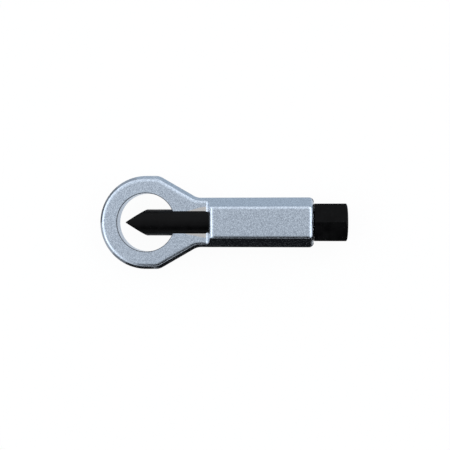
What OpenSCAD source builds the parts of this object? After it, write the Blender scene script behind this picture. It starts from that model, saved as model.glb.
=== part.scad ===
// Nut splitter: a forged ring and shank, with a chisel that a hexagon-headed screw drives into the ring.
// Millimetres, +Z up. The origin is the middle of the ring, at mid height.
// +X runs along the screw to its head.
// It is drawn with the screw right in, the chisel's edge nearest the ring's far wall.

/* [Ring and neck] */
// outside diameter of the ring at mid height
ring_outer_d = 43.5; // [41:0.1:48]
// how far the ring's far wall lies beyond that circle
ring_stretch = 0.5; // [0:0.1:1.5]
// diameter of the hole that goes over the nut
nut_hole_d = 27; // [25:0.1:29]
// thickness of the ring and the neck
ring_t = 7.2; // [6:0.1:8.5]
// chamfer at both edges of the nut hole
hole_chamfer = 0.35; // [0.1:0.05:0.8]
// slope of the neck's sides to the screw's axis, in degrees
neck_angle = 30; // [26:1:34]

/* [Shank] */
// width of the shank at mid height
shank_w = 23; // [22:0.1:26]
// height of the shank
shank_h = 20; // [19:0.1:24]
// width of the flats on top and underneath
shank_flat_w = 13.6; // [12:0.1:15]
// distance of the shoulder's foot from the middle of the ring
shoulder_x = 28.8; // [28:0.1:29.5]
// how far the shoulder leans back from its foot to the flat
shoulder_run = 1.5; // [1:0.1:3]
// length of the shank from the shoulder's foot to its end
shank_len = 48.5; // [46:0.1:56]
// how far the end leans in from mid height to the flats
end_run = 0.9; // [0.3:0.1:1.5]
// rounding of the shank's end corners, seen from above
end_corner_r = 2.4; // [1:0.1:4]
// rounding of the forging's long edges
edge_r = 0.8; // [0.3:0.1:1.2]

/* [Chisel] */
// diameter of the chisel
chisel_d = 12.2; // [11:0.1:12.8]
// length of the chisel
chisel_len = 48; // [46:0.5:50]
// angle between the two faces of the cutting edge, in degrees
wedge_angle = 67; // [55:1:75]
// width of the flat left on the cutting edge
edge_land = 0.3; // [0.1:0.1:0.8]
// distance from the cutting edge to the ring's far wall, screw right in
tip_gap = 4.7; // [3.5:0.1:5]
// chamfer at the chisel's tail
tail_chamfer = 0.5; // [0.2:0.1:0.8]
// width of the keyway under the chisel
key_w = 3; // [2.8:0.1:3.4]
// depth of the keyway
key_depth = 1.6; // [1.2:0.1:1.8]

/* [Forcing screw] */
// pitch of the right-hand thread
thread_pitch = 1.5; // [1.25:0.25:2]
// depth of the thread, from crest to root
thread_depth = 0.85; // [0.6:0.05:0.9]
// turns of the screw from right in to right out
travel_turns = 15; // [10:1:15]
// size of the hexagon head across its flats
hex_af = 17; // [16:0.5:17]
// length of the hexagon head
hex_len = 14.8; // [10:0.1:20]
// distance from the shank's end to the head, screw right in
head_gap = 0.2; // [0.2:0.1:1]
// diameter of the circle where the head's end chamfer starts
hex_face_d = 16.2; // [15:0.1:16.6]
// length of the plain collar between the chisel and the thread
collar_len = 3.5; // [2.5:0.1:5]

/* [Coupling] */
// diameter of the screw's nose
nose_d = 7; // [6.6:0.1:7.4]
// length of the nose inside the chisel's tail
nose_len = 6.5; // [6:0.1:8]
// diameter of the groove round the nose
groove_d = 4.8; // [4.4:0.1:5]
// width of that groove
groove_w = 2.4; // [2.3:0.1:2.8]
// distance from the chisel's tail to the middle of the groove
groove_setback = 3.4; // [3:0.1:3.8]
// diameter of the two dowels that run in the groove
dowel_d = 2; // [1.8:0.1:2.1]
// length of the dowels
dowel_len = 7.4; // [6:0.1:7.6]
// diameter of the thrust ball
ball_d = 5; // [4.5:0.1:5.5]
// depth of the two conical seats of the ball
seat_depth = 1.2; // [1:0.1:1.3]
// angle of those seats, in degrees
seat_angle = 118; // [110:1:120]

/* [Guide screw] */
// diameter of the guide screw
guide_d = 5; // [4:0.1:5.5]
// length of its body
guide_len = 3; // [2.5:0.1:3.2]
// how far it sits below the shank's flat
guide_sink = 0.3; // [0.1:0.1:0.5]
// diameter of its dog point
dog_d = 2.6; // [2.2:0.1:2.6]
// size of its hexagon socket across the flats
guide_socket_af = 2.5; // [2:0.1:2.5]
// depth of that socket
guide_socket_depth = 1.8; // [1:0.1:2]
// distance from the chisel's tail to the guide screw
guide_setback = 4.2; // [3.9:0.1:5]

/* [Fits] */
// radial gap round the chisel in its bore
slide_gap = 0.1; // [0.05:0.01:0.2]
// radial gap round the chisel where it draws back through the thread
pass_gap = 0.3; // [0.2:0.05:0.4]
// radial gap between the screw's thread and the shank's
thread_gap = 0.25; // [0.2:0.05:0.3]
// gap round the nose in the chisel's tail
swivel_gap = 0.1; // [0.05:0.01:0.2]
// gap between the chisel's tail and the screw's collar
tail_gap = 0.3; // [0.2:0.05:0.5]
// radial gap round the guide screw and the dowels
pin_gap = 0.03; // [0.01:0.01:0.05]
// gap between the ball and its seats
ball_gap = 0.05; // [0.02:0.01:0.1]
// gap between the dog point and the ends and floor of the keyway
key_gap = 0.3; // [0.2:0.05:0.5]

/* [Hidden] */

$fn = 96;
// straight steps in each rounded corner of a section
arc_steps = 4;
// straight steps in each turn of a thread
thread_steps = 20;
// overlap of one solid with the next, and of a cut past a face
lap = 1;

silver = [0.68, 0.71, 0.75];
black = [0.12, 0.12, 0.13];
steel = [0.6, 0.6, 0.58];

ring_r = ring_outer_d / 2;
hole_r = nut_hole_d / 2;
half_t = ring_t / 2;
half_w = shank_w / 2;
half_h = shank_h / 2;
half_flat = shank_flat_w / 2;
// how far the forging's sides lean in for each millimetre above mid height
side_lean = (half_w - half_flat) / half_h;
// each blank of the neck lies this much below the one before, so that no two share a face
face_drop = 0.02;
neck_h = half_t - face_drop;
bar_h = neck_h - face_drop;
shank_end = shoulder_x + shank_len;

chisel_r = chisel_d / 2;
bore_r = chisel_r + slide_gap;
tip_x = tip_gap - hole_r;
tail_x = tip_x + chisel_len;
travel = travel_turns * thread_pitch;

// the screw's thread is the smallest that the chisel draws back through
hole_root_r = chisel_r + pass_gap;
hole_crest_r = hole_root_r + thread_depth;
screw_root_r = hole_root_r - thread_gap;
screw_crest_r = hole_crest_r - thread_gap;
// how far the screw's plain core lies below the thread's root
core_undercut = 0.35;
core_r = screw_root_r - core_undercut;
// both threads start a whole number of turns from the shank's end, so that they mesh
turns_inside = floor((shank_end - tail_x - collar_len) / thread_pitch);
screw_thread_x = shank_end - thread_pitch * turns_inside;
screw_thread_turns = turns_inside - 2;
hole_thread_x = screw_thread_x + 2 * thread_pitch;
hole_thread_turns = turns_inside - 4;
// plain length past each end of a thread
thread_land = 0.6;
// steps over which the screw's thread rises and falls, and over which the shank's does
screw_fade = thread_steps;
hole_fade = 2;
// the relief before the shank's thread and the counterbore behind it clear its crest by this much;
// they swallow the turns in which it rises and falls
relief_clear = 0.15;
swallowed_turns = 1.2;
relief_r = hole_crest_r + relief_clear;
// distance from the relief's end to the screw's thread, screw right in
relief_lead = 0.9;
relief_x = screw_thread_x - relief_lead;
relief_end = hole_thread_x + thread_pitch * swallowed_turns;
counterbore_x = hole_thread_x + thread_pitch * (hole_thread_turns + 1 - swallowed_turns);
// thread form along one pitch: root flat, rising flank, crest flat, falling flank
flank_angle = 30;
flank_run = thread_depth * tan(flank_angle);
// share of the pitch that the crest's flat takes
crest_share = 0.13;
crest_flat = thread_pitch * crest_share;
root_flat = thread_pitch - crest_flat - 2 * flank_run;
form_x = [0, root_flat, root_flat + flank_run, root_flat + flank_run + crest_flat];
form_rise = [0, 0, 1, 1];

collar_x = tail_x + tail_gap;
head_x = shank_end + head_gap;
hex_corner_r = hex_af / 2 / cos(30);
hex_chamfer_angle = 30;
hex_chamfer_len = (hex_corner_r - hex_face_d / 2) * tan(hex_chamfer_angle);

nose_r = nose_d / 2;
nose_x = tail_x - nose_len;
groove_x = tail_x - groove_setback;
dowel_r = dowel_d / 2;
dowel_y = groove_d / 2 + dowel_r + swivel_gap;
ball_r = ball_d / 2;
seat_r = seat_depth * tan(seat_angle / 2);
// distance of the ball's middle from the face round each seat
ball_stand = ball_r / sin(seat_angle / 2) - seat_depth + ball_gap;
ball_x = nose_x - ball_stand;
socket_x = ball_x - ball_stand;

guide_x = tail_x - guide_setback;
guide_bottom = guide_sink - half_h;
dog_r = dog_d / 2;
key_floor = key_depth - chisel_r;
key_end = guide_x + dog_r + key_gap;
key_start = guide_x - travel - dog_r - key_gap;

function unit(v) = v / norm(v);

function turned(v, a) = [v[0] * cos(a) - v[1] * sin(a), v[0] * sin(a) + v[1] * cos(a)];

// the arc of radius r in place of corner b, between its neighbours a and c
function corner_arc(a, b, c, r) =
    let (u = unit(a - b), v = unit(c - b), half = acos(u * v) / 2)
    let (middle = b + unit(u + v) * r / sin(half), from = b + u * r / tan(half) - middle)
    let (sweep = (180 - 2 * half) * sign(cross(b - a, c - b)))
    [for (i = [0 : arc_steps]) middle + turned(from, sweep * i / arc_steps)];

// a polygon with each corner rounded to its own radius; zero leaves a corner sharp
function rounded(points, radii) =
    let (n = len(points))
    [for (i = [0 : n - 1])
        each radii[i] == 0
            ? [points[i]]
            : corner_arc(points[(i + n - 1) % n], points[i], points[(i + 1) % n], radii[i])];

// the forging's section at half height h and half width w, across the screw's axis
function bar_section(w, h) =
    let (flat = w - h * side_lean)
    rounded([[w, 0], [flat, h], [-flat, h], [-w, 0], [-flat, -h], [flat, -h]],
            [0, edge_r, edge_r, 0, edge_r, edge_r]);

// the section of the ring or of one side of the neck at half height h, from the middle out to w
function edge_section(w, h) =
    let (flat = w - h * side_lean)
    rounded([[0, -h], [flat, -h], [w, 0], [flat, h], [0, h]],
            [0, edge_r, 0, edge_r, 0]);

// a point of a thread at distance x along it, turned by angle a, at radius r
function thread_point(x, a, r) = [x, r * cos(a), r * sin(a)];

// a thread rises from its root over the first steps and falls back over the last
function thread_rise(i, rows, fade) = min(1, i / fade, (rows - i) / fade);

function thread_points(x, turns, root_r, crest_r, fade) =
    let (n = thread_steps, rows = n * turns, step = thread_pitch / n)
    concat(
        [for (i = [0 : rows]) for (j = [0 : 3])
            thread_point(x + step * i + form_x[j], 360 * i / n,
                         root_r + (crest_r - root_r) * form_rise[j] * thread_rise(i, rows, fade))],
        [for (i = [1 : n]) thread_point(x + step * (rows + i), 360 * i / n, root_r)],
        [for (i = [0 : n - 1]) thread_point(x - thread_land, 360 * i / n, root_r)],
        [for (i = [0 : n - 1])
            thread_point(x + step * (rows + n) + thread_land, 360 * i / n, root_r)]);

// faces of a thread: the helical strip, a band at each end that closes it, and two end discs
function thread_faces(turns) =
    let (n = thread_steps, rows = n * turns, tail = 4 * (rows + 1) - 1, disc = tail + n + 1, end = disc + n)
    let (next = function (i, j) j < 4 ? 4 * i + j : i + n <= rows ? 4 * (i + n) : tail + i + n - rows)
    concat(
        [for (i = [0 : rows - 1]) for (j = [0 : 3])
            [next(i, j), next(i, j + 1), next(i + 1, j + 1), next(i + 1, j)]],
        [for (i = [0 : n - 2]) [disc + i, 4 * i, 4 * (i + 1), disc + i + 1]],
        [[disc + n - 1, 4 * (n - 1), 4 * n, 3, 2, 1, 0, disc]],
        [[tail + 1, 4 * rows, 4 * rows + 1, 4 * rows + 2, 4 * rows + 3, tail + n, end, end + 1]],
        [for (i = [1 : n - 1]) [tail + i, end + i, end + (i + 1) % n, tail + i + 1]],
        [[for (i = [0 : n - 1]) disc + i]],
        [[for (i = [0 : n - 1]) end + n - 1 - i]]);

// a right-hand thread along X, solid to its middle
module thread(x, turns, root_r, crest_r, fade) {
    polyhedron(thread_points(x, turns, root_r, crest_r, fade), thread_faces(turns), convexity = 10);
}

// a shape turned about the screw's axis, from [distance, radius] points
module turned_part(points) {
    rotate([0, 90, 0])
        rotate_extrude()
            polygon([for (p = points) [p[1], p[0]]]);
}

// a round bar or cut along the screw's axis from x1 to x2
module axis_bar(r, x1, x2) {
    translate([x1, 0, 0])
        rotate([0, 90, 0])
            cylinder(r = r, h = x2 - x1);
}

// a section drawn across the screw's axis, run along it from x1 to x2
module run_along(section, x1, x2) {
    translate([x1, 0, 0])
        rotate([90, 0, 90])
            linear_extrude(x2 - x1)
                polygon(section);
}

// all of the plate on the inner side of one straight edge; the edge faces the given angle
module neck_side(angle) {
    rotate([0, 0, angle])
        rotate([90, 0, 0])
            linear_extrude(4 * ring_r, center = true)
                polygon(concat(edge_section(ring_r, neck_h), [[-2 * ring_r, neck_h], [-2 * ring_r, -neck_h]]));
}

// the far half of the ring, set back by its stretch
module ring_blank() {
    translate([-ring_stretch, 0, 0])
        rotate([0, 0, 90])
            rotate_extrude(angle = 180)
                polygon(edge_section(ring_r, half_t));
}

// the tapering plate from the ring's middle to the shank, its sides touching the ring's circle
module neck_blank() {
    intersection() {
        neck_side(90);
        neck_side(90 - neck_angle);
        neck_side(-90);
        neck_side(neck_angle - 90);
        translate([-ring_stretch, -2 * ring_r, -half_t - lap])
            cube([ring_stretch + shoulder_x + lap, 4 * ring_r, ring_t + 2 * lap]);
    }
}

// the straight plate between the neck's taper and the shoulder, as wide as the shank
module neck_bar_blank() {
    run_along(bar_section(half_w, bar_h), hole_r / 2, shoulder_x + lap);
}

module shank_blank() {
    // the shoulder's slope runs on a little below the neck's face
    root_z = half_t - lap;
    root_x = shoulder_x - lap * shoulder_run / (half_h - half_t);
    side = rounded([[root_x, -root_z], [shoulder_x + shoulder_run, -half_h],
                    [shank_end - end_run, -half_h], [shank_end, 0], [shank_end - end_run, half_h],
                    [shoulder_x + shoulder_run, half_h], [root_x, root_z]],
                   [0, edge_r, edge_r, 0, edge_r, edge_r, 0]);
    // seen from above, a little larger than the shank, so that only its end corners are cut
    margin = 0.2;
    plan_w = half_w + 2 * margin;
    plan_start = shoulder_x - 3 * lap;
    plan_end = shank_end + margin;
    plan = rounded([[plan_start, -plan_w], [plan_end, -plan_w], [plan_end, plan_w], [plan_start, plan_w]],
                   [0, end_corner_r, end_corner_r, 0]);
    intersection() {
        run_along(bar_section(half_w, half_h), shoulder_x - 2 * lap, shank_end + lap);
        rotate([90, 0, 0])
            linear_extrude(2 * shank_w, center = true)
                polygon(side);
        translate([0, 0, -shank_h])
            linear_extrude(2 * shank_h)
                polygon(plan);
    }
}

// the hole for the nut, chamfered at both faces
module nut_hole_cut() {
    mouth_r = hole_r + hole_chamfer + lap;
    rotate_extrude()
        polygon([[0, -half_t - lap], [mouth_r, -half_t - lap], [hole_r, hole_chamfer - half_t],
                 [hole_r, half_t - hole_chamfer], [mouth_r, half_t + lap], [0, half_t + lap]]);
}

module frame() {
    color(silver)
        difference() {
            union() {
                ring_blank();
                neck_blank();
                neck_bar_blank();
                shank_blank();
            }
            nut_hole_cut();
            axis_bar(bore_r, hole_r / 2, relief_x + lap);
            axis_bar(relief_r, relief_x, relief_end);
            thread(hole_thread_x, hole_thread_turns, hole_root_r, hole_crest_r, hole_fade);
            axis_bar(relief_r, counterbore_x, shank_end + lap);
            translate([guide_x, 0, -half_h - lap])
                cylinder(r = guide_d / 2 + pin_gap, h = half_h + lap);
        }
}

// what the cutting edge's two faces leave of the chisel, seen from above
module wedge_plan() {
    out = chisel_r + lap;
    run = (out - edge_land / 2) / tan(wedge_angle / 2);
    polygon([[tip_x, -edge_land / 2], [tip_x + run, -out], [tail_x + lap, -out],
             [tail_x + lap, out], [tip_x + run, out], [tip_x, edge_land / 2]]);
}

// the screw's nose turns in this socket; its floor carries the ball's seat
module tail_socket_cut() {
    turned_part([[socket_x - seat_depth, 0], [socket_x, seat_r], [socket_x, nose_r + swivel_gap],
                 [tail_x + lap, nose_r + swivel_gap], [tail_x + lap, 0]]);
}

module chisel() {
    color(black)
        difference() {
            intersection() {
                turned_part([[tip_x - lap, 0], [tip_x - lap, chisel_r], [tail_x - tail_chamfer, chisel_r],
                             [tail_x, chisel_r - tail_chamfer], [tail_x, 0]]);
                translate([0, 0, -chisel_d])
                    linear_extrude(2 * chisel_d)
                        wedge_plan();
            }
            tail_socket_cut();
            for (side = [-1, 1])
                translate([groove_x, side * dowel_y, -chisel_d])
                    cylinder(r = dowel_r + pin_gap, h = 2 * chisel_d);
            translate([key_start, -key_w / 2, -chisel_d])
                cube([key_end - key_start, key_w, chisel_d + key_floor]);
        }
}

module hex_head() {
    intersection() {
        translate([head_x, 0, 0])
            rotate([0, 90, 0])
                cylinder(r = hex_corner_r, h = hex_len, $fn = 6);
        turned_part([[head_x, 0], [head_x, hex_corner_r + lap],
                     [head_x + hex_len - hex_chamfer_len, hex_corner_r + lap],
                     [head_x + hex_len - hex_chamfer_len, hex_corner_r],
                     [head_x + hex_len, hex_face_d / 2], [head_x + hex_len, 0]]);
    }
}

module drive_screw() {
    color(black)
        union() {
            difference() {
                turned_part([[nose_x, 0], [nose_x, nose_r], [groove_x - groove_w / 2, nose_r],
                             [groove_x - groove_w / 2, groove_d / 2], [groove_x + groove_w / 2, groove_d / 2],
                             [groove_x + groove_w / 2, nose_r], [collar_x, nose_r], [collar_x, core_r],
                             [head_x + lap, core_r], [head_x + lap, 0]]);
                turned_part([[nose_x - lap, 0], [nose_x - lap, seat_r], [nose_x, seat_r],
                             [nose_x + seat_depth, 0]]);
            }
            thread(screw_thread_x, screw_thread_turns, screw_root_r, screw_crest_r, screw_fade);
            hex_head();
        }
}

module thrust_ball() {
    color(steel)
        translate([ball_x, 0, 0])
            sphere(r = ball_r);
}

module swivel_pins() {
    color(steel)
        for (side = [-1, 1])
            translate([groove_x, side * dowel_y, -dowel_len / 2])
                cylinder(r = dowel_r, h = dowel_len);
}

module guide_screw() {
    color(black)
        difference() {
            union() {
                translate([guide_x, 0, guide_bottom])
                    cylinder(r = guide_d / 2, h = guide_len);
                translate([guide_x, 0, guide_bottom + guide_socket_depth])
                    cylinder(r = dog_r, h = key_floor - key_gap - guide_bottom - guide_socket_depth);
            }
            translate([guide_x, 0, guide_bottom - lap])
                cylinder(r = guide_socket_af / 2 / cos(30), h = guide_socket_depth + lap, $fn = 6);
        }
}

frame();
chisel();
drive_screw();
thrust_ball();
swivel_pins();
guide_screw();
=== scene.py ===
import bmesh
import bpy
import numpy as np
from mathutils import Matrix, Vector


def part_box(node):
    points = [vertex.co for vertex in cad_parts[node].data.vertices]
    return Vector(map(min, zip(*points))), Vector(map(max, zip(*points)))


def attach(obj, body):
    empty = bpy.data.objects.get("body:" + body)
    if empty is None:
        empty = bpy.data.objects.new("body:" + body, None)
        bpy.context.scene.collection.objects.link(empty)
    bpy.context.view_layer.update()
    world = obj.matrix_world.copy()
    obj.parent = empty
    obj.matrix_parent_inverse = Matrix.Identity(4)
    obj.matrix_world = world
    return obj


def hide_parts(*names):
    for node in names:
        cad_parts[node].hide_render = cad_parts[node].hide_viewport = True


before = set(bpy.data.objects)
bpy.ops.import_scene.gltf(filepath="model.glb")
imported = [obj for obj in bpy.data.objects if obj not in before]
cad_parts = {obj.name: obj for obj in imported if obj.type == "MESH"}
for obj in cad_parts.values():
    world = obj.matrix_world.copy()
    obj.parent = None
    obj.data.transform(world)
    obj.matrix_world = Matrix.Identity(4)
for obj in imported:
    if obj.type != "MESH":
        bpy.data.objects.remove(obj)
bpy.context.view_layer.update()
mm = 0.001
print("stage: frame loaded")


# Grids of points and the meshes made from them, all in millimetres until the mesh is written

meshing = {
    "weld": 0.002,        # points nearer than this become one
    "slim": 0.001,        # edges shorter than this go
    "cutterSharp": 30,    # degrees, on shapes that only cut
    "cutterPast": 1.0,    # how far such a shape stands out of the piece
    "holeColumns": 48,
}


def gridFaces(rows, columns):
    # quads between neighbouring rows and columns of a grid numbered row by row
    corner = np.arange(rows * columns).reshape(rows, columns)
    sides = (corner[:-1, :-1], corner[:-1, 1:], corner[1:, 1:], corner[1:, :-1])
    return np.stack(sides, -1).reshape(-1, 4)


def joinGrids(grids):
    # several grids of points as one list of points and one of quads
    points = [g.reshape(-1, 3) for g in grids]
    starts = np.cumsum([0] + [len(p) for p in points[:-1]])
    faces = [gridFaces(g.shape[0], g.shape[1]) + s for g, s in zip(grids, starts)]
    return np.concatenate(points), np.concatenate(faces)


def mirrorAcross(points, faces, axis):
    # the same shape and its mirror image across the plane where that coordinate is zero
    flip = np.ones(3)
    flip[axis] = -1
    return np.concatenate([points, points * flip]), np.concatenate([faces, faces[:, ::-1] + len(points)])


def makePiece(name, points, faces, material, sharpAngle):
    # mesh from arrays: doubles welded, collapsed faces dropped, faces outward, sharp past an angle
    mesh = bpy.data.meshes.new(name)
    mesh.from_pydata((points * mm).tolist(), [], faces.tolist())
    work = bmesh.new()
    work.from_mesh(mesh)
    bmesh.ops.remove_doubles(work, verts=work.verts, dist=meshing["weld"] * mm)
    bmesh.ops.dissolve_degenerate(work, edges=work.edges, dist=meshing["slim"] * mm)
    bmesh.ops.recalc_face_normals(work, faces=work.faces)
    if work.calc_volume(signed=True) < 0:
        bmesh.ops.reverse_faces(work, faces=work.faces)
    openEdges = sum(1 for e in work.edges if len(e.link_faces) != 2)
    work.to_mesh(mesh)
    work.free()
    mesh.shade_smooth()
    mesh.set_sharp_from_angle(angle=np.radians(sharpAngle))
    mesh.materials.append(material)
    piece = bpy.data.objects.new(name, mesh)
    bpy.context.scene.collection.objects.link(piece)
    print(f"piece {name}: {len(mesh.polygons)} faces, {openEdges} open edges")
    return piece


def spread(*stops):
    # stops is (value, value, count, value, count, ...): evenly spaced points between the values
    run = [np.array([stops[0]], float)]
    last = stops[0]
    for value, count in zip(stops[1::2], stops[2::2]):
        run.append(np.linspace(last, value, count + 1)[1:])
        last = value
    return np.concatenate(run)


def turnedGrid(along, radius, columns):
    # a profile of (distance along X, radius) points carried round the X axis
    angle = np.linspace(0, 2 * np.pi, columns + 1)
    x = np.repeat(np.asarray(along, float)[:, None], columns + 1, 1)
    r = np.asarray(radius, float)[:, None]
    return np.stack([x, r * np.cos(angle), r * np.sin(angle)], -1)


def turnedPiece(name, along, radius, columns, axis, middle, material):
    # a closed profile of (distance, radius) points carried round X or Z through the given middle
    grid = turnedGrid(along, radius, columns)
    grid = grid if axis == "x" else grid[..., [1, 2, 0]]
    points, faces = joinGrids([grid + np.asarray(middle, float)])
    return makePiece(name, points, faces, material, meshing["cutterSharp"])


def boxPiece(name, low, high, material):
    # six faces from three pairs of opposite planes, as one grid wrapped round Z and closed at both ends
    (x0, y0, z0), (x1, y1, z1) = low, high
    ring = np.array([(x0, y0), (x1, y0), (x1, y1), (x0, y1), (x0, y0)], float)
    middle = np.repeat([[(x0 + x1) / 2, (y0 + y1) / 2]], len(ring), 0)
    rows = [np.column_stack([plan, np.full(len(ring), z)]) for plan, z in
            ((middle, z0), (ring, z0), (ring, z1), (middle, z1))]
    points, faces = joinGrids([np.stack(rows)])
    return makePiece(name, points, faces, material, meshing["cutterSharp"])


def cutAway(piece, cutter, sharpAngle):
    # the piece less the cutter, worked out once and written back to its mesh
    modifier = piece.modifiers.new("cut", "BOOLEAN")
    modifier.object = cutter
    modifier.operation = "DIFFERENCE"
    modifier.solver = "MANIFOLD"
    bpy.context.view_layer.update()
    cut = bpy.data.meshes.new_from_object(piece.evaluated_get(bpy.context.evaluated_depsgraph_get()))
    piece.modifiers.clear()
    old = piece.data
    piece.data = cut
    bpy.data.meshes.remove(old)
    cut.name = piece.name
    cut.shade_smooth()
    cut.set_sharp_from_angle(angle=np.radians(sharpAngle))
    spent = cutter.data
    bpy.data.objects.remove(cutter)
    bpy.data.meshes.remove(spent)
    print(f"piece {piece.name}: {len(cut.polygons)} faces after a cut, {len(cut.materials)} materials")


# Materials


def newMaterial(name):
    material = bpy.data.materials.new(name)
    material.use_nodes = True
    nodes, links = material.node_tree.nodes, material.node_tree.links
    return material, nodes, links, nodes["Principled BSDF"]


def addNode(nodes, kind, **settings):
    node = nodes.new(kind)
    for key, value in settings.items():
        setattr(node, key, value)
    return node


def addMath(nodes, links, operation, first, second=None, clamp=False):
    # first and second are sockets or plain numbers
    node = addNode(nodes, "ShaderNodeMath", operation=operation, use_clamp=clamp)
    for socket, value in zip(node.inputs, (first, second)):
        if value is None:
            continue
        if isinstance(value, (int, float)):
            socket.default_value = value
        else:
            links.new(value, socket)
    return node.outputs[0]


def addNoise(nodes, links, place, scale, detail=2.0, roughness=0.5):
    noise = addNode(nodes, "ShaderNodeTexNoise")
    noise.inputs["Scale"].default_value = scale
    noise.inputs["Detail"].default_value = detail
    noise.inputs["Roughness"].default_value = roughness
    links.new(place, noise.inputs["Vector"])
    return noise.outputs["Fac"]


def addRange(nodes, links, value, fromLow, fromHigh, toLow, toHigh):
    # a value carried from one span to another and held at its ends
    node = addNode(nodes, "ShaderNodeMapRange")
    ends = ("From Min", "From Max", "To Min", "To Max")
    for key, number in zip(ends, (fromLow, fromHigh, toLow, toHigh)):
        node.inputs[key].default_value = number
    links.new(value, node.inputs["Value"])
    return node.outputs["Result"]


def addBump(nodes, links, height, strength, depth):
    # depth is in millimetres
    bump = addNode(nodes, "ShaderNodeBump")
    bump.inputs["Strength"].default_value = strength
    bump.inputs["Distance"].default_value = depth * mm
    links.new(height, bump.inputs["Height"])
    return bump


def addColourMix(nodes, links, share, first, second):
    # first and second are colours or sockets
    node = addNode(nodes, "ShaderNodeMix", data_type="RGBA")
    links.new(share, node.inputs["Factor"])
    for socket, value in zip((node.inputs[6], node.inputs[7]), (first, second)):
        if isinstance(value, tuple):
            socket.default_value = (*value, 1)
        else:
            links.new(value, socket)
    return node.outputs[2]


satinChrome = {
    "plate": (0.375, 0.427, 0.503),    # cool silver of the plating, in the hollows of its grain
    "plateLight": (0.64, 0.72, 0.82),  # where the satin grain stands proud
    "bare": (0.64, 0.615, 0.595),      # steel that the slot's cutter left unplated
    "paintedRimDark": (0.07, 0.075, 0.085),     # painted reflection: the dark that the nut hole's rounded edge reflects
    "grainScale": 1850.0,              # per metre, well under a millimetre a grain
    "grainTurn": (0.6, 0.35, 0.5),     # turns the noise out of line with the flats
    "grainSpan": (0.37, 0.63),         # of the noise, from one colour to the other
    "grainDetail": 3.0,
    "grainHarsh": 0.6,
    "grainBump": 0.36,
    "grainDepth": 0.06,
    "waveScale": 130.0,                # slow unevenness of the forging under the plating
    "waveBump": 0.05,
    "waveDepth": 0.5,
    "roughSpan": (0.3, 0.7),           # of the noise, from one roughness to the other
    "roughLow": 0.19,
    "roughHigh": 0.28,
    "bareStart": 17.0,                 # where the bare wedges beside the slot begin and end, along X
    "bareEnd": 27.9,
    "bareFadeIn": 0.8,                 # lengths over which they begin and end
    "bareFadeOut": 0.4,
    "bareInner": 4.75,                 # their half width at the start and how it grows
    "bareGrow": 0.235,
    "bareRagged": 1.2,                 # how far their edges wander
    "bareSoft": (-0.15, 0.25),         # across such an edge, from plating to bare steel
    "paintedRimFrom": 13.52,                # radii between which the hole's rounded edge gets that painted dark reflection
    "paintedRimTo": 13.9,
    "paintedRimFadeIn": 0.1,                # widths over which that begins and ends
    "paintedRimFadeOut": 0.15,
}


def makeSatinChrome(form):
    material, nodes, links, shader = newMaterial("satin_chrome")
    place = addNode(nodes, "ShaderNodeTexCoord").outputs["Object"]
    turned = addNode(nodes, "ShaderNodeMapping")
    turned.inputs["Rotation"].default_value = form["grainTurn"]
    links.new(place, turned.inputs["Vector"])
    grain = addNoise(nodes, links, turned.outputs[0], form["grainScale"], form["grainDetail"],
                     form["grainHarsh"])
    wave = addNoise(nodes, links, place, form["waveScale"])
    split = addNode(nodes, "ShaderNodeSeparateXYZ")
    links.new(place, split.inputs[0])
    # bare wedge: |y| below a line that rises with x, between the wedge's two ends, on the neck's faces
    wander = addMath(nodes, links, "SUBTRACT", wave, 0.5)  # the noise about its middle
    ragged = addMath(nodes, links, "MULTIPLY", wander, form["bareRagged"] * mm)
    along = addMath(nodes, links, "SUBTRACT", split.outputs["X"], form["bareStart"] * mm)
    reach = addMath(nodes, links, "MULTIPLY_ADD", along, form["bareGrow"])
    reach.node.inputs[2].default_value = form["bareInner"] * mm
    beside = addMath(nodes, links, "SUBTRACT", reach, addMath(nodes, links, "ABSOLUTE", split.outputs["Y"]))
    beside = addMath(nodes, links, "ADD", beside, ragged)
    softFrom, softTo = form["bareSoft"]
    wedge = addRange(nodes, links, beside, softFrom * mm, softTo * mm, 0, 1)
    begun = addRange(nodes, links, along, 0, form["bareFadeIn"] * mm, 0, 1)
    last, gone = form["bareEnd"] * mm, (form["bareEnd"] + form["bareFadeOut"]) * mm
    ended = addRange(nodes, links, split.outputs["X"], last, gone, 1, 0)
    bare = addMath(nodes, links, "MULTIPLY", wedge, addMath(nodes, links, "MULTIPLY", begun, ended))
    grainShare = addRange(nodes, links, grain, *form["grainSpan"], 0, 1)
    plate = addColourMix(nodes, links, grainShare, form["plate"], form["plateLight"])
    worn = addColourMix(nodes, links, bare, plate, form["bare"])
    # painted reflection on the hole's edge: a thin dark band of radius about the Z axis, on the two faces
    across = addNode(nodes, "ShaderNodeVectorMath", operation="MULTIPLY")
    across.inputs[1].default_value = (1, 1, 0)
    links.new(place, across.inputs[0])
    radial = addNode(nodes, "ShaderNodeVectorMath", operation="LENGTH")
    links.new(across.outputs[0], radial.inputs[0])
    distance = radial.outputs["Value"]
    inside, outside = form["paintedRimFrom"] * mm, form["paintedRimTo"] * mm
    entered = addRange(nodes, links, distance, inside, inside + form["paintedRimFadeIn"] * mm, 0, 1)
    left = addRange(nodes, links, distance, outside - form["paintedRimFadeOut"] * mm, outside, 1, 0)
    paintedRimShare = addMath(nodes, links, "MULTIPLY", entered, left)
    links.new(addColourMix(nodes, links, paintedRimShare, worn, form["paintedRimDark"]), shader.inputs["Base Color"])
    links.new(addRange(nodes, links, grain, *form["roughSpan"], form["roughLow"], form["roughHigh"]),
              shader.inputs["Roughness"])
    shader.inputs["Metallic"].default_value = 1
    slow = addBump(nodes, links, wave, form["waveBump"], form["waveDepth"])
    fine = addBump(nodes, links, grain, form["grainBump"], form["grainDepth"])
    links.new(slow.outputs[0], fine.inputs["Normal"])
    links.new(fine.outputs[0], shader.inputs["Normal"])
    return material


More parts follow.
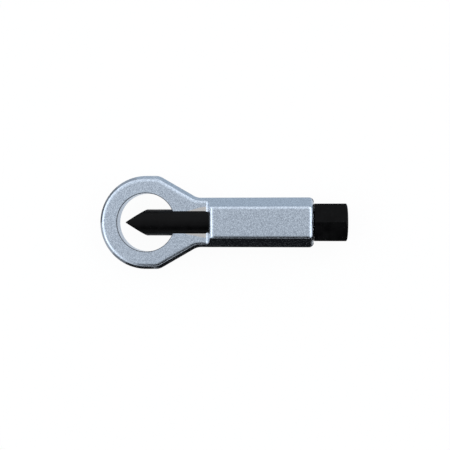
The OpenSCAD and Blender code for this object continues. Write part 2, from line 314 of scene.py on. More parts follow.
def makeBlackOxide(name, form):
    # blackened steel: near black, faintly mottled, a little lighter where the tool's cuts run
    material, nodes, links, shader = newMaterial(name)
    place = addNode(nodes, "ShaderNodeTexCoord").outputs["Object"]
    stretch = addNode(nodes, "ShaderNodeMapping")
    stretch.inputs["Scale"].default_value = form["cutStretch"]
    links.new(place, stretch.inputs["Vector"])
    cuts = addNoise(nodes, links, stretch.outputs[0], form["cutScale"], form["detail"], form["cutHarsh"])
    mottle = addNoise(nodes, links, place, form["mottleScale"], form["detail"])
    share = addRange(nodes, links, addMath(nodes, links, "MULTIPLY", cuts, mottle), *form["tintSpan"], 0, 1)
    links.new(addColourMix(nodes, links, share, form["dark"], form["light"]), shader.inputs["Base Color"])
    links.new(addRange(nodes, links, mottle, *form["roughSpan"], form["roughLow"], form["roughHigh"]),
              shader.inputs["Roughness"])
    shader.inputs["Specular IOR Level"].default_value = form["gloss"]
    bump = addBump(nodes, links, cuts, form["bump"], form["bumpDepth"])
    links.new(bump.outputs[0], shader.inputs["Normal"])
    return material


blackOxide = {"detail": 3.0, "cutHarsh": 0.6, "tintSpan": (0.15, 0.4), "roughSpan": (0.3, 0.7),
              "bumpDepth": 0.05}
blackChisel = {**blackOxide, "dark": (0.0005, 0.0004, 0.0006), "light": (0.0014, 0.0013, 0.0016),
               "cutScale": 900.0, "cutStretch": (0.15, 1.0, 1.0), "mottleScale": 260.0, "roughLow": 0.32,
               "roughHigh": 0.44, "gloss": 0.1, "bump": 0.12}
blackScrew = {**blackOxide, "dark": (0.0010, 0.0010, 0.0011), "light": (0.0026, 0.0026, 0.0028),
              "cutScale": 700.0, "cutStretch": (1.0, 0.4, 0.4), "mottleScale": 300.0, "roughLow": 0.38,
              "roughHigh": 0.52, "gloss": 0.06, "bump": 0.1}
brightSteel = {"dark": (0.5, 0.5, 0.49), "light": (0.62, 0.62, 0.6), "grain": 1500.0,
               "roughSpan": (0.3, 0.7), "roughLow": 0.14, "roughHigh": 0.26}


def makeBrightSteel(form):
    material, nodes, links, shader = newMaterial("bright_steel")
    place = addNode(nodes, "ShaderNodeTexCoord").outputs["Object"]
    grain = addNoise(nodes, links, place, form["grain"])
    links.new(addColourMix(nodes, links, grain, form["dark"], form["light"]), shader.inputs["Base Color"])
    links.new(addRange(nodes, links, grain, *form["roughSpan"], form["roughLow"], form["roughHigh"]),
              shader.inputs["Roughness"])
    shader.inputs["Metallic"].default_value = 1
    return material


chromeFinish = makeSatinChrome(satinChrome)
chiselFinish = makeBlackOxide("black_chisel", blackChisel)
screwFinish = makeBlackOxide("black_screw", blackScrew)
steelFinish = makeBrightSteel(brightSteel)
print("stage: materials made")


# The forging: ring, neck and shank. One quarter is worked out and mirrored twice.

frameLow, frameHigh = (np.array(corner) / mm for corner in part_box("frame"))
forging = {
    "ringRadius": frameHigh[1],
    "ringStretch": -frameLow[0] - frameHigh[1],  # how far the far wall lies beyond a true circle
    "holeRadius": 13.5,
    "holeRound": 0.35,        # rounding of the hole's edges
    "slotShare": 0.4,         # the slot's edges have this share of it across
    "halfThick": 3.6,         # of the ring and the neck
    "neckAngle": 30.0,
    "neckRound": 6.5,         # seen from above, where the neck leaves the ring and meets the shank
    "halfWidth": 11.5,        # of the shank at its ridge
    "halfHeight": frameHigh[2],
    "lean": 0.455,            # how far the sides lean in for each millimetre up
    "ridgeRound": 0.25,
    "edgeRound": 0.85,        # where the lean starts to turn into the flat, on the shank and on the ring
    "ringEdgeRound": 1.1,
    "edgeGrow": 2.5,          # how much larger the rounding is where it meets the flat
    "shoulderFoot": 29.1,
    "shoulderRun": 1.1,
    "shoulderTurn": 0.7,      # rounding of the shoulder's outer corner, and the height over which it grows
    "turnRise": 1.2,
    "footRound": 1.5,
    "browRound": 2.4,
    "shankEnd": frameHigh[0],
    "endLean": 0.45,
    "endRoundFlat": 2.0,
    "endRoundSide": 2.2,
    "boreRadius": 6.2,
    "threadClear": 7.4,       # radius of the hole behind the chisel's bore
    "mouthChamfer": 0.35,     # at that hole's mouth, and the straight stretch behind it
    "mouthDepth": 1.0,
    "reliefStart": 41.9,
    "guideX": 35.0,
    "guideRadius": 2.53,
    "guideChamfer": 0.3,
    "sharpAngle": 32,
    "ridgeColumns": 4,        # points over the ridge, and in the curve from the lean to the flat
    "arcColumns": 13,
    "arcParts": 20,           # short steps that are summed between two points of that curve
    "leanShares": np.array([0.08, 0.5, 0.92]),  # places of the points on the lean and on the flat
    "flatShares": np.array([0.03, 0.2, 0.4, 0.6, 0.8, 0.97, 1.0]),
    "holeColumns": 6,         # points round the hole's edge
    "archColumns": 12,        # points over the arch of the bore
    "sideStations": 4,        # stations along each stretch of the outline
    "turnStations": 8,
    "taperStations": 5,
    "cheekStations": 10,
    "farStations": 36,
    "footRows": 7,            # rows of the shank: the shoulder's two roundings, the rise between them,
    "browRows": 8,            # the body, the end's rounding and the end face
    "riseShares": np.array([0.1, 0.37, 0.63, 0.9]),
    "bodyShares": np.array([0.01, 0.2, 0.4, 0.6, 0.8, 0.99, 1.0]),
    "endRows": 9,
    "faceShares": np.array([0.06, 0.5, 0.94, 1.0]),
}


def skinProfile(form, cap, r):
    # Half section from the ridge at mid height to the flat at height cap: inset d from the ridge and
    # height z. A small round ridge, a straight lean, then a curve that turns from the lean to the flat.
    # Its radius is r at the lean and grows with the square of the angle turned, so its points are running
    # sums over that angle.
    cap, r = np.asarray(cap, float)[..., None], np.asarray(r, float)[..., None]
    tilt = np.arctan(form["lean"])
    ridge = form["ridgeRound"]
    a = np.linspace(0, tilt, form["ridgeColumns"])
    dRidge = ridge / np.cos(tilt) - ridge * np.cos(a) + 0 * cap
    zRidge = ridge * np.sin(a) + 0 * cap
    count, parts = form["arcColumns"] - 1, form["arcParts"]
    b = np.linspace(tilt, np.pi / 2, count * parts + 1)
    between = (b[1:] + b[:-1]) / 2
    radius = 1 + form["edgeGrow"] * ((between - tilt) / (np.pi / 2 - tilt)) ** 2
    step = radius * (b[1] - b[0])
    across = np.concatenate([[0], np.cumsum(step * np.sin(between))])[::parts]
    up = np.concatenate([[0], np.cumsum(step * np.cos(between))])[::parts]
    b = b[::parts]
    low = cap - r * up[-1]
    dArc = low * form["lean"] + r * across
    zArc = low + r * up
    share = form["leanShares"]
    dLean = dRidge[..., -1:] + (dArc[..., :1] - dRidge[..., -1:]) * share
    zLean = zRidge[..., -1:] + (zArc[..., :1] - zRidge[..., -1:]) * share
    # angle of the outward normal above the horizontal
    facing = np.concatenate([a, np.full(len(share), tilt), b])
    return np.concatenate([dRidge, dLean, dArc], -1), np.concatenate([zRidge, zLean, zArc], -1), facing


def headGrid(form, startX):
    # Stations run along the outline from the shoulder to the ring's far side; columns run from the ridge over
    # the lean and the flat to the inner edge, round it and down the wall to mid height.
    ringR, holeR, wide, thick = form["ringRadius"], form["holeRadius"], form["halfWidth"], form["halfThick"]
    slope = np.radians(form["neckAngle"])
    r, stretch = form["neckRound"], form["ringStretch"]
    reach = r * np.tan(slope / 2)
    cornerX = (ringR - wide * np.cos(slope)) / np.sin(slope)  # where the taper would meet the shank's side
    normal = np.array([np.sin(slope), np.cos(slope)])
    down = np.array([np.cos(slope), -np.sin(slope)])
    cheek = np.array([cornerX, wide])
    brow = np.array([ringR * np.tan(slope / 2), ringR])
    boreR, share = form["boreRadius"], form["slotShare"]
    edge, flatShares = form["holeRound"], form["flatShares"]

    # edge and wall columns: height and widening of the hole, from the flat down to mid height
    quarter = np.linspace(np.pi / 2, 0, form["holeColumns"])
    count = form["ridgeColumns"] + len(form["leanShares"]) + form["arcColumns"] + len(flatShares)
    wallZ = np.concatenate([thick - edge + edge * np.sin(quarter),
                            np.linspace(thick - edge, 0, count - len(quarter) + 1)[1:]])
    wallOut = np.concatenate([edge - edge * np.cos(quarter), np.zeros(count - len(quarter))])
    slotY = np.sqrt(boreR**2 - wallZ**2) + share * wallOut
    cornerAngle = np.arcsin(slotY / (holeR + wallOut))

    inner = np.array([np.sqrt((holeR + edge) ** 2 - slotY[0] ** 2), slotY[0]])
    foot = inner + normal * (ringR - inner @ normal)  # straight out from the slot's corner to the taper
    taperStart = cheek - down * reach
    taperEnd = brow + down * reach

    def line(a, b, n, direction):
        t = np.linspace(0, 1, n + 1)[:, None]
        return a + (b - a) * t, np.repeat(direction[None], n + 1, 0)

    def arc(middle, radius, a1, a2, n, side):
        a = np.radians(np.linspace(a1, a2, n + 1))
        ray = np.stack([np.cos(a), np.sin(a)], -1)
        return middle + radius * ray, side * ray

    upright = np.array([0.0, 1.0])
    turn, bend = form["neckAngle"], form["turnStations"]
    short, last = form["sideStations"], form["farStations"]
    sideEnd, topX = np.array([cornerX + reach, wide]), brow[0] - reach
    slotSide = [line(np.array([startX, wide]), sideEnd, short, upright),
                arc(sideEnd + np.array([0, r]), r, -90, -90 - turn, bend, -1),
                line(taperStart, foot, form["taperStations"], normal)]
    holeSide = [line(foot, taperEnd, form["cheekStations"], normal),
                arc(np.array([topX, ringR - r]), r, 90 - turn, 90, bend, 1),
                line(np.array([topX, ringR]), np.array([-stretch, ringR]), short, upright),
                arc(np.array([-stretch, 0]), ringR, 90, 180, last, 1)]

    def together(parts):
        at = np.concatenate([parts[0][0]] + [p[0][1:] for p in parts[1:]])
        out = np.concatenate([parts[0][1]] + [p[1][1:] for p in parts[1:]])
        gone = np.concatenate([[0], np.cumsum(np.linalg.norm(np.diff(at, axis=0), axis=1))])
        return at, out, gone

    slotAt, slotOut, slotGone = together(slotSide)
    holeAt, holeOut, holeGone = together(holeSide)
    # inner stations: along the slot by distance; round the hole a quarter by distance, then with the ring
    slotShare = (slotGone / slotGone[-1])[:, None]
    slotX = startX + (np.sqrt((holeR + wallOut) ** 2 - slotY**2) - startX) * slotShare
    slotInner = np.stack([slotX, slotY + 0 * slotX, wallZ + 0 * slotX], -1)
    onTop = np.arange(len(holeAt)) < len(holeAt) - last
    topGone = (holeGone / holeGone[onTop][-1])[:, None]
    far = np.linspace(0, 1, last + 1)[:, None]
    topAngle = cornerAngle + (np.pi / 2 - cornerAngle) * topGone[onTop]
    farAngle = np.pi / 2 * (1 + far[1:]) + 0 * cornerAngle
    angle = np.concatenate([topAngle, farAngle])
    holeInner = np.stack([(holeR + wallOut) * np.cos(angle), (holeR + wallOut) * np.sin(angle),
                          wallZ + 0 * angle], -1)

    at = np.concatenate([slotAt, holeAt[1:]])
    out = np.concatenate([slotOut, holeOut[1:]])
    innerAll = np.concatenate([slotInner, holeInner[1:]])
    rim = innerAll[:, 0, :2]
    depth = np.sum((at - rim) * out, -1)
    edgeRound = np.full(len(at), form["ringEdgeRound"])
    edgeRound[:len(slotAt)] += (form["edgeRound"] - form["ringEdgeRound"]) * (1 - slotShare[:, 0])
    d, z, _ = skinProfile(form, np.full(len(at), thick), edgeRound)
    flat = d[:, -1:] + (depth[:, None] - d[:, -1:]) * flatShares
    d = np.concatenate([d, flat], 1)
    z = np.concatenate([z, np.full_like(flat, thick)], 1)
    skin = at[:, None] + (rim - at)[:, None] * (d / depth[:, None])[..., None]
    skin = np.concatenate([skin, z[..., None]], -1)
    return np.concatenate([skin, innerAll[:, 1:]], 1), wallZ, slotY[0]


def shankGrid(form, wallZ, slotEdge):
    # Rows run from the neck up the shoulder, along the shank, round its end, over the end face into the
    # hole and back through it; columns run from the ridge over the lean and the flat to the middle.
    thick, high, wide = form["halfThick"], form["halfHeight"], form["halfWidth"]
    boreR, clear, flatShares = form["boreRadius"], form["threadClear"], form["flatShares"]
    foot, run, r1, r2 = form["shoulderFoot"], form["shoulderRun"], form["footRound"], form["browRound"]
    climb = np.arctan2(high - thick, run)
    a = np.linspace(0, climb, form["footRows"])
    footX, footZ = foot - r1 * np.tan(climb / 2) + r1 * np.sin(a), thick + r1 - r1 * np.cos(a)
    b = np.linspace(climb, 0, form["browRows"])
    browX = foot + run + r2 * np.tan(climb / 2) - r2 * np.sin(b)
    browZ = high - r2 + r2 * np.cos(b)
    share = form["riseShares"]
    riseX = np.concatenate([footX, footX[-1] + (browX[0] - footX[-1]) * share, browX])
    riseZ = np.concatenate([footZ, footZ[-1] + (browZ[0] - footZ[-1]) * share, browZ])

    d, z, facing = skinProfile(form, riseZ, np.full(len(riseZ), form["edgeRound"]))
    flat = d[:, -1:] + (wide - slotEdge - d[:, -1:]) * flatShares
    sideY = wide - np.concatenate([d, flat], 1)
    sideZ = np.concatenate([z, np.repeat(riseZ[:, None], len(flatShares), 1)], 1)
    # seen from above the shoulder's face turns back into the lean: an arc over the distance in from the
    # lean's end
    bend = form["shoulderTurn"]
    leanEnd = wide - d[:, -form["arcColumns"]][:, None]
    into = np.clip(1 - (leanEnd - sideY) / bend, 0, 1)
    risen = np.clip((riseZ - thick) / form["turnRise"], 0, 1)[:, None]
    sideX = riseX[:, None] + bend * (1 - np.sqrt(1 - into**2)) * risen
    side = np.stack([sideX, sideY, sideZ], -1)
    # middle columns start on the arch of the bore
    midY = slotEdge * np.cos(np.linspace(0, np.pi / 2, form["archColumns"] + 1)[1:])
    archZ = np.maximum(np.sqrt(boreR**2 - midY**2), thick)
    gone = np.concatenate([[0], np.cumsum(np.hypot(np.diff(riseX), np.diff(riseZ)))])
    archGone = np.interp(archZ, riseZ, gone)
    steps = archGone + (gone[-1] - archGone) * (gone / gone[-1])[:, None]
    mid = np.stack([np.interp(steps, gone, riseX), midY + 0 * steps, np.interp(steps, gone, riseZ)], -1)
    shoulder = np.concatenate([side, mid], 1)

    section = shoulder[-1, :, 1:]
    facing = np.concatenate([facing, np.full(section.shape[0] - len(facing), np.pi / 2)])
    outward = np.stack([np.cos(facing), np.sin(facing)], -1)
    tilt = np.arctan(form["lean"])
    blend = np.clip((facing - tilt) / (np.pi / 2 - tilt), 0, 1)
    endRound = form["endRoundSide"] + (form["endRoundFlat"] - form["endRoundSide"]) * blend

    def endX(height):
        return form["shankEnd"] - form["endLean"] * height / high

    bodyEnd = endX(section[:, 1]) - endRound
    stretch = form["bodyShares"][:, None]
    bodyX = shoulder[-1, :, 0] + (bodyEnd - shoulder[-1, :, 0]) * stretch
    body = np.concatenate([bodyX[..., None], np.repeat(section[None], len(stretch), 0)], -1)
    c = np.linspace(0, np.pi / 2, form["endRows"])[1:, None]
    inset = endRound * (1 - np.cos(c))
    turnedIn = section - outward * inset[..., None]
    turnX = endX(section[:, 1]) - endRound + endRound * np.sin(c)
    turn = np.concatenate([turnX[..., None], turnedIn], -1)
    # the hole's angles match the wall columns of the neck, then run evenly over the arch
    low = np.arcsin(np.minimum(wallZ[::-1] / boreR, 1))
    holeAngle = np.concatenate([low, np.arctan2(archZ, midY)])
    ray = np.stack([np.cos(holeAngle), np.sin(holeAngle)], -1)
    chamfer = form["mouthChamfer"]
    mouth = clear + chamfer
    faceShare = form["faceShares"][:, None, None]
    faceAt = turn[-1, :, 1:] * (1 - faceShare) + mouth * ray * faceShare
    faceX = np.interp(faceAt[..., 1], [0, high], [form["shankEnd"], form["shankEnd"] - form["endLean"]])
    face = np.concatenate([faceX[..., None], faceAt], -1)
    # the hole: mouth, wide part, step, bore
    shape = [(clear, -chamfer), (clear, -form["mouthDepth"]), (clear, None), (boreR, None)]
    tube = []
    for radius, back in shape:
        x = face[-1, :, 0] + back if back is not None else np.full(len(ray), form["reliefStart"])
        tube.append(np.concatenate([x[:, None], radius * ray], -1))
    return np.concatenate([shoulder, body, turn, face, np.stack(tube)]), shoulder[0]


def makeForging(form):
    climb = np.arctan2(form["halfHeight"] - form["halfThick"], form["shoulderRun"])
    startX = form["shoulderFoot"] - form["footRound"] * np.tan(climb / 2)
    head, wallZ, slotEdge = headGrid(form, startX)
    shank, front = shankGrid(form, wallZ, slotEdge)
    # last row of the hole: the neck's wall at the shoulder, then the arch
    skinColumns = head.shape[1] - len(wallZ) + 1
    wall = head[0, skinColumns - 1:][::-1]
    closing = np.concatenate([wall, front[len(wall):]])
    shank = np.concatenate([shank, closing[None]])
    points, faces = joinGrids([head, shank])
    points, faces = mirrorAcross(points, faces, 2)
    points, faces = mirrorAcross(points, faces, 1)
    piece = makePiece("forged_frame", points, faces, chromeFinish, form["sharpAngle"])
    # tapped hole for the guide screw, from below the shank up into the bore, with a chamfered mouth
    bottom, radius, chamfer = -form["halfHeight"], form["guideRadius"], form["guideChamfer"]
    mouth, outside = radius + chamfer, bottom - meshing["cutterPast"]
    hole = turnedPiece("guide_hole", [outside, outside, bottom, bottom + chamfer, 0, 0],
                       [0, mouth, mouth, radius, radius, 0], meshing["holeColumns"], "z",
                       (form["guideX"], 0, 0), chromeFinish)
    cutAway(piece, hole, form["sharpAngle"])
    return piece


forgedFrame = makeForging(forging)
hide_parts("frame")
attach(forgedFrame, "frame")
print("stage: forging made")


# Chisel: a round bar with two faces ground to a cutting edge, a keyway underneath and a chamfered tail

chiselLow, chiselHigh = (np.array(corner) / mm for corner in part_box("chisel"))
chiselForm = {
    "radius": chiselHigh[2],
    "tip": chiselLow[0],
    "tail": chiselHigh[0],
    "wedgeAngle": 67.0,
    "edgeLand": 0.3,
    "tailChamfer": 0.5,
    "keyStart": 10.9,
    "keyEnd": 36.6,
    "keyHalfWidth": 1.5,
    "keyDepth": 1.6,
    "socketRadius": 3.6,     # socket for the screw's nose and the holes of the two dowels
    "socketFloor": 29.17,
    "seatDepth": 1.2,        # cone in the socket's floor for the ball
    "seatRadius": 2.0,
    "dowelX": 35.8,
    "dowelY": 3.5,
    "dowelRadius": 1.03,
    "dowelColumns": 24,
    "sharpAngle": 28,
    "cornerLength": 0.6,     # closer rows just before and behind the end of the ground faces
    "rootLength": 0.2,
    "wedgeRows": 22,
    "cornerRows": 10,
    "rootRows": 2,
    "barRows": 40,
    "leastSplit": 18.0,      # degrees, smallest half angle of the columns that lie on a ground face
    "faceColumns": 12,
    "roundColumns": 24,
    "tailShare": 0.6,        # place of one more ring on the tail's end face
}


def makeChisel(form):
    # Sections of a circle, each cut off flat at both sides where the wedge is narrower than the bar,
    # carried along X. The angles are spread so that a column always lies on the line between the round
    # and the ground face.
    radius, tip, tail = form["radius"], form["tip"], form["tail"]
    land = form["edgeLand"] / 2
    grow = np.tan(np.radians(form["wedgeAngle"] / 2))
    full = tip + (radius - land) / grow
    x = spread(tip, full - form["cornerLength"], form["wedgeRows"], full, form["cornerRows"],
               full + form["rootLength"], form["rootRows"], tail - form["tailChamfer"], form["barRows"])
    half = np.minimum(land + (x - tip) * grow, radius)
    least = np.radians(form["leastSplit"])
    split = np.maximum(np.arccos(np.clip(half / radius, -1, 1)), least)[:, None]
    onFace = np.linspace(0, 1, form["faceColumns"] + 1)[:-1]
    onRound = np.linspace(0, 1, form["roundColumns"] + 1)[:-1]
    quarter = (split * 2 * onFace - split, split + (np.pi - 2 * split) * onRound)
    angle = np.concatenate([quarter[0], quarter[1], quarter[0] + np.pi, quarter[1] + np.pi], 1)
    angle = np.concatenate([angle, angle[:, :1] + 2 * np.pi], 1)
    y = np.clip(radius * np.cos(angle), -half[:, None], half[:, None])
    bar = np.stack([x[:, None] + 0 * y, y, radius * np.sin(angle)], -1)
    nose = bar[0] * np.array([1, 0, 1])  # the cutting edge closes on the middle plane
    endRing = bar[-1] * np.array([1, 0, 0]) + np.array([form["tailChamfer"], 0, 0])
    shrink = (radius - form["tailChamfer"]) / radius
    rings = [endRing + bar[-1] * np.array([0, share, share]) for share in (shrink, form["tailShare"], 0)]
    grid = np.concatenate([nose[None], bar, np.stack(rings)])
    points, faces = joinGrids([grid])
    sharp, past = form["sharpAngle"], meshing["cutterPast"]
    piece = makePiece("chisel_bar", points, faces, chiselFinish, sharp)
    half, floor = form["keyHalfWidth"], form["keyDepth"] - radius
    low, high = (form["keyStart"], -half, -radius - past), (form["keyEnd"], half, floor)
    cutAway(piece, boxPiece("keyway", low, high, chiselFinish), sharp)
    socket, bed = form["socketRadius"], form["socketFloor"]
    hole = turnedPiece("socket", [bed - form["seatDepth"], bed, bed, tail + past, tail + past],
                       [0, form["seatRadius"], socket, socket, 0], meshing["holeColumns"], "x", (0, 0, 0),
                       chiselFinish)
    cutAway(piece, hole, sharp)
    dowel = form["dowelRadius"]
    for side in (-1, 1):
        middle = (form["dowelX"], side * form["dowelY"], 0)
        hole = turnedPiece("dowel_hole", [-radius, -radius, radius, radius], [0, dowel, dowel, 0],
                           form["dowelColumns"], "z", middle, chiselFinish)
        cutAway(piece, hole, sharp)
    return piece


chiselBar = makeChisel(chiselForm)
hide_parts("chisel")
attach(chiselBar, "chisel")
print("stage: chisel made")


# Drive screw: nose, collar, thread and hexagon head

screwLow, screwHigh = (np.array(corner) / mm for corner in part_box("drive_screw"))
screwForm = {
    "noseStart": screwLow[0],
    "noseRadius": 3.5,
    "seatDepth": 1.2,         # cone in the nose for the ball
    "seatRadius": 2.0,
    "grooveRadius": 2.4,
    "grooveX": 35.8,
    "grooveHalf": 1.2,
    "collarStart": 39.5,
    "coreRadius": 5.8,
    "threadStart": 42.8,
    "threadEnd": 77.3,
    "pitch": 1.5,
    "rootRadius": 6.15,
    "crestRadius": 7.0,
    "rootShare": 0.22,        # shares of the pitch: flat at the root, and each flank
    "flankShare": 0.325,
    "headStart": 77.5,
    "headEnd": screwHigh[0],
    "acrossFlats": 17.0,
    "faceRadius": 8.1,
    "chamferAngle": 30.0,
    "chamfer": 0.4,           # at the ends of the nose and the collar
    "threadLead": 0.4,        # plain lengths before the thread, behind it and up to the head's core
    "threadRelief": 1.0,
    "coreLead": 0.6,
    "headRound": 0.3,         # closer rows under the head and on the cone at its end
    "coneLength": 1.6,
    "cornerPower": 90,        # the higher, the sharper the hexagon's corners
    "frontCut": 0.25,         # how far the corners are turned down behind, and how steeply that ends
    "frontSlope": 1.2,
    "blend": 40.0,            # per millimetre, how sharply the hexagon and the cones meet
    "blendLevel": 8.0,        # a radius near theirs, which keeps the sums small
    "faceSteps": (7.4, 3.0, 0),
    "columns": 96,
    "turnRows": 14,           # rows to each turn of the thread
    "roundRows": 4,
    "sideRows": 6,
    "coneRows": 24,
    "sharpAngle": 30,
}


def threadRadius(form, x, angle):
    # height of a trapezoid wave of (x / pitch - angle / turn), faded in and out over the first and last turns
    phase = np.mod((x - form["threadStart"]) / form["pitch"] - angle / (2 * np.pi), 1)
    root, flank = form["rootShare"], form["flankShare"]
    rise = np.clip((phase - root) / flank, 0, 1)
    fall = np.clip((1 - phase) / flank, 0, 1)
    fade = np.clip((x - form["threadStart"]) / form["pitch"], 0, 1)
    fade = fade * np.clip((form["threadEnd"] - form["threadRelief"] - x) / form["pitch"], 0, 1)
    return form["rootRadius"] + (form["crestRadius"] - form["rootRadius"]) * np.minimum(rise, fall) * fade


def makeScrew(form):
    columns = form["columns"]
    angle = np.linspace(0, 2 * np.pi, columns + 1)
    # shaft: turned profile up to the thread, the thread's height field, then the core up to the head
    g, half = form["grooveX"], form["grooveHalf"]
    nose, groove, core = form["noseRadius"], form["grooveRadius"], form["coreRadius"]
    start, collar, cut = form["noseStart"], form["collarStart"], form["chamfer"]
    before = [(start + form["seatDepth"], 0), (start, form["seatRadius"]), (start, nose - cut),
              (start + cut, nose), (g - half, nose), (g - half, groove), (g + half, groove),
              (g + half, nose), (collar, nose), (collar, core - cut), (collar + cut, core),
              (form["threadStart"] - form["threadLead"], core)]
    turned = turnedGrid([p[0] for p in before], [p[1] for p in before], columns)
    rows = int((form["threadEnd"] - form["threadStart"]) / form["pitch"] * form["turnRows"])
    x = np.linspace(form["threadStart"], form["threadEnd"] - form["threadRelief"], rows)[:, None]
    radius = threadRadius(form, x, angle)
    wound = np.stack([x + 0 * angle, radius * np.cos(angle), radius * np.sin(angle)], -1)
    headStart, headEnd = form["headStart"], form["headEnd"]
    neck = turnedGrid([form["threadEnd"] - form["coreLead"], headStart], [core, core], columns)
    # head: hexagon with slightly rounded corners, cut down by a cone at each end. The hexagon's radius at an
    # angle comes from a high power mean over its six flats, and a soft minimum joins it to the cones.
    under = headStart + form["headRound"]
    beyond = spread(under, headEnd - form["coneLength"], form["sideRows"], headEnd, form["coneRows"])
    x = np.concatenate([[headStart], spread(headStart, under, form["roundRows"]), beyond[1:]])
    flatAngle = np.arange(6) * np.pi / 3
    facing = np.maximum(np.cos(angle[:, None] - flatAngle), 0)
    inner, power = form["acrossFlats"] / 2, form["cornerPower"]
    hexagon = inner / np.sum(facing**power, -1) ** (1 / power)
    cone = form["faceRadius"] + (headEnd - x) / np.tan(np.radians(form["chamferAngle"]))
    front = inner / np.cos(np.pi / 6) - form["frontCut"] + (x - headStart) * form["frontSlope"]
    sharp, level = form["blend"], form["blendLevel"]
    limit = np.minimum(cone, front)[:, None]
    radius = level - np.log(np.exp(-sharp * (hexagon - level)) + np.exp(-sharp * (limit - level))) / sharp
    radius[0] = core
    head = np.stack([x[:, None] + 0 * radius, radius * np.cos(angle), radius * np.sin(angle)], -1)
    face = turnedGrid([headEnd] * len(form["faceSteps"]), form["faceSteps"], columns)
    points, faces = joinGrids([np.concatenate([turned, wound, neck, head, face])])
    return makePiece("drive_screw_bar", points, faces, screwFinish, form["sharpAngle"])


driveScrew = makeScrew(screwForm)
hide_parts("drive_screw")
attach(driveScrew, "screw")
print("stage: drive screw made")


# Camera, light and floor

view = {"eye": (63.6, -1.2, 331.8), "target": (36.5, -1.2, 0.0), "lens": 57.5, "sensor": 36.0,
        "clipStart": 10.0}
studio = {
    "zenith": 0.645,         # light from overhead
    "sides": [               # direction, where along it the change begins and ends, how much is added,
                             # and the share of it that is left near the horizon
        ((-0.97, -0.24, 0), 0.10, 0.80, 0.48, 1.0),
        ((-0.93, -0.37, 0), 0.46, 0.78, 1.15, 0.35),
        ((1, 0, 0), 0.20, 0.60, 1.3, 0.35),
        ((0, 1, 0), 0.02, 0.40, 0.50, 1.0),
        ((0, -1, 0), 0.28, 0.66, -0.85, 1.0),
    ],
    "horizon": (0.25, 0.60),  # heights of a direction between which that share grows to all
    "tint": (0.97, 1.0, 1.035),
    "floorGlow": 0.94,       # share of the floor that is white whatever falls on it
    "floorGrey": 0.9,        # its colour for the light that falls on it, and its roughness
    "floorRough": 0.9,
    "floorHalf": 5000.0,
    "wallRadius": 4500.0,    # a low white wall round the floor, for views from near the ground
    "wallHeight": 950.0,
    "wallColumns": 120,
    "floorDrop": 0.02,       # keeps the floor's face off the shank's
    "cardStart": 6.0,        # distance of the cards below from the tool's outline, and above the shank's face
    "cardRise": 0.2,
    "cardColumns": 60,
    "cards": [               # name, angles about the ring between which it lies, colour
        ("behind", 3.0, 108.0, (0.56, 0.63, 0.70)),
        ("corner_near", 108.0, 134.0, (0.40, 0.44, 0.49)),
        ("corner", 134.0, 158.0, (0.22, 0.24, 0.26)),
        ("corner_far", 158.0, 180.0, (0.12, 0.13, 0.14)),
        ("left", 180.0, 219.0, (0.48, 0.50, 0.53)),
        ("front_near", 219.0, 238.0, (0.22, 0.23, 0.25)),
        ("front", 238.0, 357.0, (0.008, 0.008, 0.009)),
    ],
    "holeShadeCard": (0.69, 0.73, 0.78),  # painted shade: a greyer card for the ring's shade on the table inside the nut hole, as its wall reflects it
    "holeGap": 1.0,
    "holeColumns": 48,
    "cardReach": 580.0,      # how far the outline may run along the shank, and how far out the cards go
    "cardFar": 870.0,
}


def placeCamera(form):
    data = bpy.data.cameras.new("camera")
    data.lens = form["lens"]
    data.sensor_width = form["sensor"]
    data.clip_start = form["clipStart"] * mm
    camera = bpy.data.objects.new("camera", data)
    bpy.context.scene.collection.objects.link(camera)
    eye, target = Vector(form["eye"]) * mm, Vector(form["target"]) * mm
    gaze = (target - eye).normalized()
    right = gaze.cross(Vector((0, 1, 0))).normalized()
    camera.location = eye
    camera.rotation_mode = "QUATERNION"
    camera.rotation_quaternion = Matrix((right, right.cross(gaze), -gaze)).transposed().to_quaternion()
    bpy.context.scene.camera = camera
    bpy.context.scene.view_settings.view_transform = "Standard"


def makeSheet(name, corners, height, material):
    # a flat sheet through the given corners
    mesh = bpy.data.meshes.new(name)
    points = np.column_stack([corners, np.full(len(corners), height)]) * mm
    mesh.from_pydata(points.tolist(), [], [range(len(corners))])
    mesh.materials.append(material)
    sheet = bpy.data.objects.new(name, mesh)
    bpy.context.scene.collection.objects.link(sheet)
    return sheet


def makeBackdrop(form, floorHeight, material):
    # a low round wall, facing in: a circle carried up from the floor
    turn = np.linspace(0, 2 * np.pi, form["wallColumns"] + 1)
    height = np.array([floorHeight, floorHeight + form["wallHeight"]])
    ring = form["wallRadius"] * np.stack([np.cos(turn), np.sin(turn)], -1)
    grid = np.concatenate([np.repeat(ring[None], 2, 0), np.repeat(height[:, None, None], len(turn), 1)], -1)
    mesh = bpy.data.meshes.new("backdrop")
    mesh.from_pydata((grid.reshape(-1, 3) * mm).tolist(), [], gridFaces(2, len(turn))[:, ::-1].tolist())
    mesh.materials.append(material)
    wall = bpy.data.objects.new("backdrop", mesh)
    bpy.context.scene.collection.objects.link(wall)


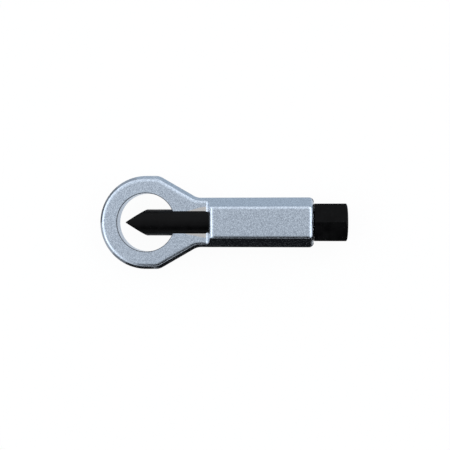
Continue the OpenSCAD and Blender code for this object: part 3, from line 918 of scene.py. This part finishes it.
def makeFloorMaterial(form):
    material, nodes, links, shader = newMaterial("white_floor")
    shader.inputs["Base Color"].default_value = (*[form["floorGrey"]] * 3, 1)
    shader.inputs["Roughness"].default_value = form["floorRough"]
    path = addNode(nodes, "ShaderNodeLightPath")
    seen = addMath(nodes, links, "ADD", path.outputs["Is Camera Ray"], path.outputs["Is Glossy Ray"])
    seen = addMath(nodes, links, "ADD", seen, path.outputs["Is Transmission Ray"], clamp=True)
    glow = addNode(nodes, "ShaderNodeEmission")
    mix = addNode(nodes, "ShaderNodeMixShader")
    links.new(addMath(nodes, links, "MULTIPLY", seen, form["floorGlow"]), mix.inputs[0])
    links.new(shader.outputs[0], mix.inputs[1])
    links.new(glow.outputs[0], mix.inputs[2])
    # from below the floor is clear, so that the underside can be looked at
    clear = addNode(nodes, "ShaderNodeMixShader")
    links.new(addNode(nodes, "ShaderNodeNewGeometry").outputs["Backfacing"], clear.inputs[0])
    links.new(mix.outputs[0], clear.inputs[1])
    links.new(addNode(nodes, "ShaderNodeBsdfTransparent").outputs[0], clear.inputs[2])
    links.new(clear.outputs[0], nodes["Material Output"].inputs["Surface"])
    return material


def makeFlag(name, corners, height, colour):
    # a card that only reflections see
    material, nodes, links, _ = newMaterial(name)
    glow = addNode(nodes, "ShaderNodeEmission")
    glow.inputs["Color"].default_value = (*colour, 1)
    links.new(glow.outputs[0], nodes["Material Output"].inputs["Surface"])
    flag = makeSheet(name, corners, height, material)
    flag.visible_camera = False
    flag.visible_diffuse = False
    flag.visible_shadow = False


def makeFlags(form, shape):
    # Each card lies between two angles about the ring and runs from a little outside the tool's outline
    # to far out. The outline's distance at an angle is the ring's radius, or that of the neck's or the
    # shank's side if longer.
    start, far = form["cardStart"], form["cardReach"]
    height = frameLow[2] + form["cardRise"]
    ring, slope = shape["ringRadius"] + start, np.radians(shape["neckAngle"])
    leastCosine = 1e-3  # keeps the taper's distance finite

    def near(angle):
        out = np.abs(np.arctan2(np.sin(angle), np.cos(angle)))
        side = (shape["halfWidth"] + start) / np.sin(out)
        side = np.minimum(side, (shape["shankEnd"] + start) / np.cos(out))
        taper = ring / np.maximum(np.cos(np.pi / 2 - slope - out), leastCosine)
        return np.where(out > np.pi / 2, ring, np.minimum(np.maximum(side, taper), far))

    for name, fromAngle, toAngle, colour in form["cards"]:
        angle = np.radians(np.linspace(fromAngle, toAngle, form["cardColumns"] + 1))
        ray = np.stack([np.cos(angle), np.sin(angle)], -1)
        corners = np.concatenate([ray * near(angle)[:, None], ray[::-1] * form["cardFar"]])
        makeFlag("flag_" + name, corners, height, colour)
    # painted shade: a greyer disc under the nut hole, seen only in reflections, for the ring's shade on the
    # table there
    turn = np.linspace(0, 2 * np.pi, form["holeColumns"] + 1)[:-1]
    disc = (shape["holeRadius"] - form["holeGap"]) * np.stack([np.cos(turn), np.sin(turn)], -1)
    makeFlag("flag_hole_shade", disc, height, form["holeShadeCard"])


def makeWorld(form):
    # light by direction: an overhead level, plus ramps along a few directions
    world = bpy.data.worlds.new("studio")
    bpy.context.scene.world = world
    world.use_nodes = True
    nodes, links = world.node_tree.nodes, world.node_tree.links
    place = addNode(nodes, "ShaderNodeTexCoord").outputs["Generated"]
    split = addNode(nodes, "ShaderNodeSeparateXYZ")
    links.new(place, split.inputs[0])
    level = form["zenith"]
    for direction, begin, end, gain, left in form["sides"]:
        along = addNode(nodes, "ShaderNodeVectorMath", operation="DOT_PRODUCT")
        along.inputs[1].default_value = direction
        links.new(place, along.inputs[0])
        ramp = addRange(nodes, links, along.outputs["Value"], begin, end, 0, gain)
        kept = addRange(nodes, links, split.outputs["Z"], *form["horizon"], left, 1)
        level = addMath(nodes, links, "ADD", addMath(nodes, links, "MULTIPLY", ramp, kept), level)
    level = addMath(nodes, links, "MAXIMUM", level, 0.0)
    back = nodes["Background"]
    back.inputs["Color"].default_value = (*form["tint"], 1)
    links.new(level, back.inputs["Strength"])


placeCamera(view)
makeWorld(studio)
wide = studio["floorHalf"]
floorHeight = frameLow[2] - studio["floorDrop"]
whiteFloor = makeFloorMaterial(studio)
makeSheet("floor", [(-wide, -wide), (wide, -wide), (wide, wide), (-wide, wide)], floorHeight, whiteFloor)
makeBackdrop(studio, floorHeight, whiteFloor)
makeFlags(studio, forging)
print("stage: camera, light and floor made")

cadFinishes = {"thrust_ball": steelFinish, "swivel_pins": steelFinish, "guide_screw": screwFinish}
for name, finish in cadFinishes.items():
    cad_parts[name].data.materials.clear()
    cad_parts[name].data.materials.append(finish)
